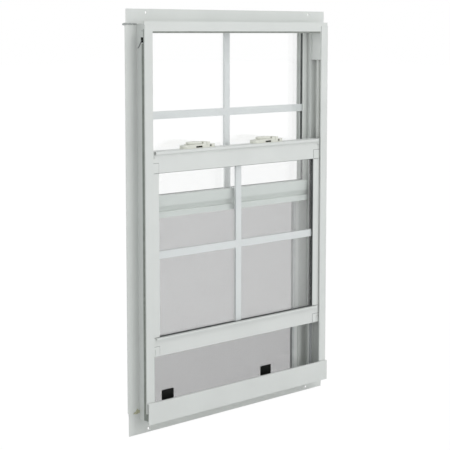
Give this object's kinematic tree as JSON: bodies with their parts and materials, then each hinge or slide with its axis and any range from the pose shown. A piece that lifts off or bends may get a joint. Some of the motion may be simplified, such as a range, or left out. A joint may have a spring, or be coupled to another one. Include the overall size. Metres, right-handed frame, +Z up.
{
  "type": "single-hung window",
  "caption": "White aluminium single-hung window with a nailing fin, fixed upper light, sliding lower sash with sweep locks, divided insulated glass, spiral balances and a half insect screen.",
  "frame": {"origin": "centre of the rectangle of nail holes, on the fin face that bears on the wall", "axes": "+Z up, +Y to the weather side, +X to the right seen from the room"},
  "size_m": [0.666, 0.079, 0.9606],
  "materials": {
    "frame_white": "satin white baked paint on extruded aluminium",
    "sash_white": "satin white baked paint on extruded aluminium",
    "grid_white": "satin white paint",
    "glass": "clear float",
    "spacer_grey": "grey spacer",
    "clip_white": "moulded",
    "gasket_dark": "matte",
    "pile_grey": "woven pile",
    "lock_ivory": "ivory white enamel on a die casting",
    "zinc": "bright zinc",
    "steel": "bright zinc",
    "tube_white": "pale paint on steel",
    "nylon": "natural",
    "sealant": "cured sealant",
    "screen_white": "satin white paint",
    "mesh_charcoal": "coated glass fibre",
    "spline_pale": "ribbed",
    "tab_black": "moulded"
  },
  "bodies": {
    "frame": {"head": "frame_white", "sill": "frame_white", "jamb_left": "frame_white", "jamb_right": "frame_white", "fixed_meeting_rail": "frame_white", "glazing_bead_left": "frame_white", "glazing_bead_right": "frame_white", "glazing_bead_top": "frame_white", "balance_cover_left": "frame_white", "balance_cover_right": "frame_white", "frame_screws": "tube_white", "corner_sealant": "sealant", "upper_pane_inner": "glass", "upper_pane_outer": "glass", "upper_spacer": "spacer_grey", "upper_grid_horizontal": "grid_white", "upper_grid_verticals": "grid_white", "upper_grid_clips": "clip_white", "upper_glazing_tape": "gasket_dark", "setting_blocks": "gasket_dark", "jamb_pile_strips": "pile_grey", "balance_tubes": "tube_white", "balance_springs": "steel", "balance_tube_screws": "steel", "balance_anchor_hooks": "steel"},
    "sash": {"sash_top_rail": "sash_white", "sash_bottom_rail": "sash_white", "sash_stile_left": "sash_white", "sash_stile_right": "sash_white", "sash_corner_screws": "steel", "sash_pane_inner": "glass", "sash_pane_outer": "glass", "sash_spacer": "spacer_grey", "sash_grid_horizontal": "grid_white", "sash_grid_verticals": "grid_white", "sash_grid_clips": "clip_white", "sash_glazing_gasket": "gasket_dark", "sash_bulb_seal": "gasket_dark", "sash_top_pile": "pile_grey", "sash_guides": "nylon", "lock_base_left": "lock_ivory", "lock_base_right": "lock_ivory", "lock_screws": "steel", "lock_pins": "zinc", "balance_rods": "steel", "balance_shoes": "nylon"},
    "left_lock": {"lock_lever_left": "lock_ivory", "lock_cam_left": "zinc"},
    "right_lock": {"lock_lever_right": "lock_ivory", "lock_cam_right": "zinc"},
    "left_bearing": {"balance_bearing_left": "nylon"},
    "right_bearing": {"balance_bearing_right": "nylon"},
    "insect_screen": {"screen_top_rail": "screen_white", "screen_bottom_rail": "screen_white", "screen_side_rails": "screen_white", "insect_mesh": "mesh_charcoal", "screen_spline": "spline_pale", "screen_pull_tabs": "tab_black", "screen_springs": "steel", "screen_spring_tangs": "steel"}
  },
  "joints": [
    {"name": "sash_slide", "type": "slide", "parent": "frame", "child": "sash", "axis": [0, 0, 1], "range_m": [-0.133, 0.19]},
    {"name": "left_lock_turn", "type": "hinge", "parent": "sash", "child": "left_lock", "pos_m": [-0.129, -0.0178, 0.1654], "axis": [0, 0, 1], "range_deg": [0, 105]},
    {"name": "right_lock_turn", "type": "hinge", "parent": "sash", "child": "right_lock", "pos_m": [0.1, -0.0178, 0.1654], "axis": [0, 0, 1], "range_deg": [0, 105]},
    {"name": "screen_lift", "type": "slide", "parent": "frame", "child": "insect_screen", "axis": [0, 0, 1], "range_m": [0, 0.008], "stiffness_N_per_m": 400, "springref_m": -0.006, "deforming": ["screen_springs"]},
    {"name": "left_bearing_spin", "type": "hinge", "parent": "frame", "child": "left_bearing", "pos_m": [-0.2874, -0.01825, 0.057], "axis": [0, 0, 1], "range_deg": [-690, 485]},
    {"name": "right_bearing_spin", "type": "hinge", "parent": "frame", "child": "right_bearing", "pos_m": [0.2874, -0.01825, 0.057], "axis": [0, 0, 1], "range_deg": [-485, 690]}
  ],
  "couplings": [
    {"joint": "left_bearing_spin", "follows": "sash_slide", "rad_per_m": -62.832},
    {"joint": "right_bearing_spin", "follows": "sash_slide", "rad_per_m": 62.832}
  ]
}
